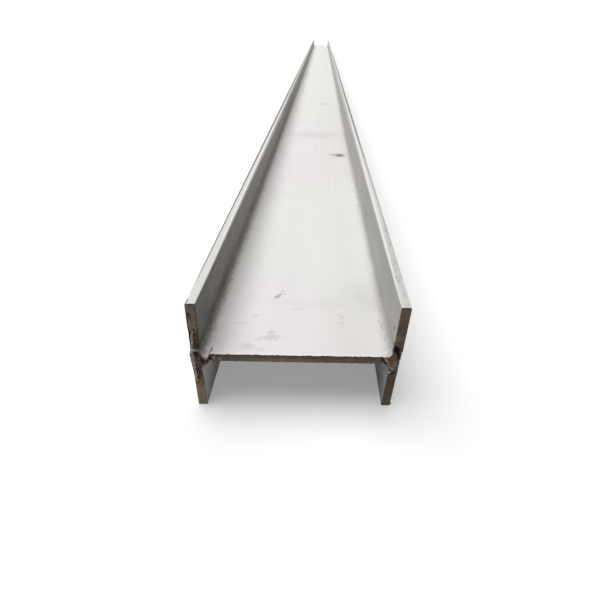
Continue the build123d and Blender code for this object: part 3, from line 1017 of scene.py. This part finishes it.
# Lumps and streaks in the finish: their size, and how they are drawn out along X, Y and Z
CLOUD_SIZE = 60.0 * MM
STREAK_SIZE = 7.0 * MM
STREAK_STRETCH = (1.0, 60.0, 1.0)
BRUSH_SIZE = 1.6 * MM
BRUSH_STRETCH = (30.0, 1.0, 1.0)
SPECK_SIZE = 1.1 * MM
PATCH_SIZE = 14.0 * MM
PATCH_STRETCH = (1.0, 2.5, 1.0)
BLOT_SIZE = 4.0 * MM
BLOT_STRETCH = (1.0, 2.0, 1.0)
OXIDE_LUMP_SIZE = 6.0 * MM
OXIDE_MOTTLE_SIZE = 2.6 * MM
OXIDE_GRAIN_SIZE = 1.2 * MM
SAW_LINE_SIZE = 1.0 * MM
SAW_LINE_STRETCH = (40.0, 1.0, 1.0)
SKIN_GRAIN_SIZE = 2.2 * MM
SKIN_RELIEF = 0.8 * MM
SKIN_RELIEF_SHARE = 0.6
SPECULAR = 0.12


def zinc_colour(tree, where):
    """Dull grey zinc with a chalky bloom, rolling streaks, clouds, dirt and marks, with painted light and
    shade in the bloom, the dirt, the soil, the toe lines and the highlights.
    """
    clouds = grain(tree, where, CLOUD_SIZE, detail=4.0)
    # The bloom mask also lifts the left of the web as painted light, and adds a painted highlight along the
    # cut edge
    bloom = math_of(tree, "MULTIPLY", fit(tree, clouds, 0.25, 0.8, 0.92, 1.0), mask(tree, "bloom_and_light"))
    tinted = mix(tree, mask(tree, "lilac"), GREENISH_ZINC, LILAC_ZINC)
    streaks = grain(tree, where, STREAK_SIZE, stretch=STREAK_STRETCH)
    dull = mix(tree, fit(tree, clouds, 0.3, 0.7), DULL_ZINC, PATINA)
    dull = mix(tree, fit(tree, streaks, 0.4, 0.75, 0.0, 0.6), dull, PATINA)
    colour = mix(tree, bloom, dull, tinted)
    colour = mix(tree, fit(tree, streaks, 0.35, 0.75, 0.0, 0.05), colour, PATINA)
    brushed = fit(tree, grain(tree, where, BRUSH_SIZE, stretch=BRUSH_STRETCH), 0.45, 0.75, 0.0, 0.3)
    colour = mix(tree, math_of(tree, "MULTIPLY", brushed, mask(tree, "near")), colour, DULL_ZINC)
    specks = grain(tree, where, SPECK_SIZE, detail=2.0)
    colour = mix(tree, fit(tree, specks, 0.55, 0.8, 0.0, 0.2), colour, GREY_DIRT_AND_SHADE)
    patchy = fit(tree, grain(tree, where, PATCH_SIZE, 5.0, PATCH_STRETCH), 0.3, 0.7, 0.8, 1.0)
    blots = fit(tree, grain(tree, where, BLOT_SIZE, 5.0, BLOT_STRETCH), 0.3, 0.7, 0.4, -0.4)
    uneven = math_of(tree, "ADD", math_of(tree, "MULTIPLY", blots, mask(tree, "ragged")), 1.0)
    # Brown dirt and dark soil, partly painted shade in the roots and up the left wall
    for name, dirt_and_shade in (("brown_dirt_and_shade", BROWN_DIRT_AND_SHADE), ("soil_and_shade", DARK_SOIL_AND_SHADE)):
        share = math_of(tree, "POWER", mask(tree, name), uneven)
        colour = mix(tree, math_of(tree, "MULTIPLY", share, patchy), colour, dirt_and_shade)
    # Painted shade along the rounded outer edges of the toes
    colour = mix(tree, mask(tree, "edge_shade", 0.93), colour, GREY_DIRT_AND_SHADE)
    colour = mix(tree, marks(tree, where, DARK_MARKS), colour, GREY_DIRT_AND_SHADE)
    return mix(tree, marks(tree, where, HIGHLIGHT_MARKS), colour, WORN_ZINC_AND_HIGHLIGHT)


def oxide_colour(tree, where):
    """Brown cutting oxide with olive scale, rust, ash, and soot with painted shade in the hollows."""
    lumps = grain(tree, where, OXIDE_LUMP_SIZE, detail=4.0)
    fine = grain(tree, where, OXIDE_GRAIN_SIZE)
    colour = mix(tree, fit(tree, lumps, 0.3, 0.7), DARK_OXIDE, PALE_OXIDE)
    colour = mix(tree, mask(tree, "olive"), colour, OLIVE_OXIDE)
    mottled = grain(tree, where, OXIDE_MOTTLE_SIZE, detail=2.0)
    colour = mix(tree, fit(tree, mottled, 0.42, 0.72, 0.0, 0.5), colour, DARK_OXIDE)
    colour = mix(tree, fit(tree, fine, 0.5, 0.8, 0.0, 0.1), colour, ASH)
    colour = mix(tree, mask(tree, "rusty", 0.8), colour, RUST)
    colour = mix(tree, mask(tree, "ashy"), colour, ASH)
    return mix(tree, mask(tree, "soot_and_shade"), colour, SOOT_AND_SHADE)


def steel_material():
    """Zinc, oxide, worn edges with painted highlights, and sawn steel, each where its mask says."""
    material = bpy.data.materials.new("weathered_zinc")
    material.use_nodes = True
    tree = material.node_tree
    shader = tree.nodes["Principled BSDF"]
    where = node(tree, "ShaderNodeTexCoord").outputs["Object"]
    burnt = fit(tree, mask(tree, "burnt"), 0.45, 0.6)
    colour = mix(tree, burnt, zinc_colour(tree, where), oxide_colour(tree, where))
    # Bright beads and worn rims, with painted highlights along the lip and down the walls
    colour = mix(tree, mask(tree, "bright"), colour, WORN_ZINC_AND_HIGHLIGHT)
    saw_lines = grain(tree, where, SAW_LINE_SIZE, detail=2.0, stretch=SAW_LINE_STRETCH)
    saw_colour = mix(tree, saw_lines, SAWN_STEEL, SAWN_LINES)
    colour = mix(tree, fit(tree, mask(tree, "sawn"), 0.9, 0.99), colour, saw_colour)
    tree.links.new(colour, shader.inputs["Base Color"])
    skin = grain(tree, where, SKIN_GRAIN_SIZE, detail=5.0)
    tree.links.new(fit(tree, skin, 0.3, 0.7, 0.52, 0.7), shader.inputs["Roughness"])
    shader.inputs["Specular IOR Level"].default_value = SPECULAR
    relief = math_of(tree, "MULTIPLY", skin, fit(tree, burnt, 0.0, 1.0, 0.12, 0.5))
    inputs = {"Height": relief, "Strength": SKIN_RELIEF_SHARE, "Distance": SKIN_RELIEF}
    bump = node(tree, "ShaderNodeBump", inputs)
    tree.links.new(bump.outputs["Normal"], shader.inputs["Normal"])
    return material


beam = bpy.data.objects.new("h_beam_steel", beam_mesh())
bpy.context.scene.collection.objects.link(beam)
beam.data.materials.append(steel_material())
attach(beam, "root")
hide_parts("h_beam")

# Camera
IMAGE_SIZE = 600.0  # pixels
FOCAL_PIXELS = 391.6
PRINCIPAL_ROW = 270.0
CAMERA_YAW = -1.54 * DEGREE
CAMERA_PITCH = 32.47 * DEGREE
CAMERA_ROLL = 2.32 * DEGREE
CAMERA_RIGHT = 7.1 * MM
CAMERA_BEFORE_END = 269.55 * MM
CAMERA_ABOVE_WEB = 285.4 * MM
SENSOR_WIDTH = 36.0  # millimetres
NEAREST_SEEN = 0.01
FURTHEST_SEEN = 200.0


def make_camera():
    data = bpy.data.cameras.new("photo_camera")
    data.sensor_width = SENSOR_WIDTH
    data.lens = SENSOR_WIDTH * FOCAL_PIXELS / IMAGE_SIZE
    data.shift_y = (PRINCIPAL_ROW - IMAGE_SIZE / 2) / IMAGE_SIZE
    data.clip_start = NEAREST_SEEN
    data.clip_end = FURTHEST_SEEN
    camera = bpy.data.objects.new("photo_camera", data)
    ahead = Vector((math.sin(CAMERA_YAW) * math.cos(CAMERA_PITCH),
                    math.cos(CAMERA_YAW) * math.cos(CAMERA_PITCH),
                    -math.sin(CAMERA_PITCH)))
    level = Vector((math.cos(CAMERA_YAW), -math.sin(CAMERA_YAW), 0.0))
    upright = level.cross(ahead)
    right = math.cos(CAMERA_ROLL) * level + math.sin(CAMERA_ROLL) * upright
    up = math.cos(CAMERA_ROLL) * upright - math.sin(CAMERA_ROLL) * level
    turn = Matrix((right, up, -ahead)).transposed().to_4x4()
    place = Vector((CAMERA_RIGHT, TORCH_END_Y - CAMERA_BEFORE_END, WEB_LEVEL + CAMERA_ABOVE_WEB))
    camera.matrix_world = Matrix.Translation(place) @ turn
    bpy.context.scene.collection.objects.link(camera)
    bpy.context.scene.camera = camera


make_camera()

# Floor and light
FLOOR_HALF = 60.0
FLOOR_COLOUR = (0.80, 0.80, 0.80)
WHITE = (1.0, 1.0, 1.0, 1.0)
FLOOR_GLOW_SHARE = 0.25  # of the white that the camera sees
KEY_STRENGTH = 3.1
KEY_SPREAD = 58.0 * DEGREE
KEY_FROM_LEFT = 15.0 * DEGREE
KEY_FROM_BEHIND = 8.0 * DEGREE
AMBIENT = 0.08


def seen_directly(tree):
    """1 for what the camera sees itself, in a mirror or through glass."""
    path = node(tree, "ShaderNodeLightPath")
    straight = math_of(tree, "MAXIMUM", path.outputs["Is Camera Ray"], path.outputs["Is Glossy Ray"])
    return math_of(tree, "MAXIMUM", straight, path.outputs["Is Transmission Ray"])


def floor_material():
    material = bpy.data.materials.new("pale_floor")
    material.use_nodes = True
    tree = material.node_tree
    tree.nodes.clear()
    matt = node(tree, "ShaderNodeBsdfDiffuse", {"Color": (*FLOOR_COLOUR, 1.0)}).outputs[0]
    glow = node(tree, "ShaderNodeEmission", {"Strength": 1.0}).outputs[0]
    lit = node(tree, "ShaderNodeBsdfDiffuse", {"Color": WHITE}).outputs[0]
    white = node(tree, "ShaderNodeMixShader", {0: FLOOR_GLOW_SHARE, 1: lit, 2: glow}).outputs[0]
    shown = node(tree, "ShaderNodeMixShader", {0: seen_directly(tree), 1: matt, 2: white}).outputs[0]
    node(tree, "ShaderNodeOutputMaterial", {"Surface": shown})
    return material


def make_floor():
    mesh = bpy.data.meshes.new("studio_floor")
    low, high = -FLOOR_HALF, FLOOR_HALF
    corners = [(low, low), (high, low), (high, high), (low, high)]
    mesh.from_pydata([(x, y, CAD_LOW.z) for x, y in corners], [], [(0, 1, 2, 3)])
    floor = bpy.data.objects.new("studio_floor", mesh)
    floor.data.materials.append(floor_material())
    bpy.context.scene.collection.objects.link(floor)


def make_light():
    sun = bpy.data.lights.new("soft_key", "SUN")
    sun.energy = KEY_STRENGTH
    sun.angle = KEY_SPREAD
    lamp = bpy.data.objects.new("soft_key", sun)
    lamp.rotation_euler = (-KEY_FROM_BEHIND, -KEY_FROM_LEFT, 0.0)
    bpy.context.scene.collection.objects.link(lamp)


def make_world():
    world = bpy.data.worlds.new("studio")
    world.use_nodes = True
    tree = world.node_tree
    tree.nodes.clear()
    fill = node(tree, "ShaderNodeBackground", {"Color": WHITE, "Strength": AMBIENT}).outputs[0]
    white = node(tree, "ShaderNodeBackground", {"Color": WHITE, "Strength": 1.0}).outputs[0]
    shown = node(tree, "ShaderNodeMixShader", {0: seen_directly(tree), 1: fill, 2: white}).outputs[0]
    node(tree, "ShaderNodeOutputWorld", {"Surface": shown})
    bpy.context.scene.world = world


make_floor()
make_light()
make_world()
bpy.context.scene.view_settings.view_transform = "Standard"
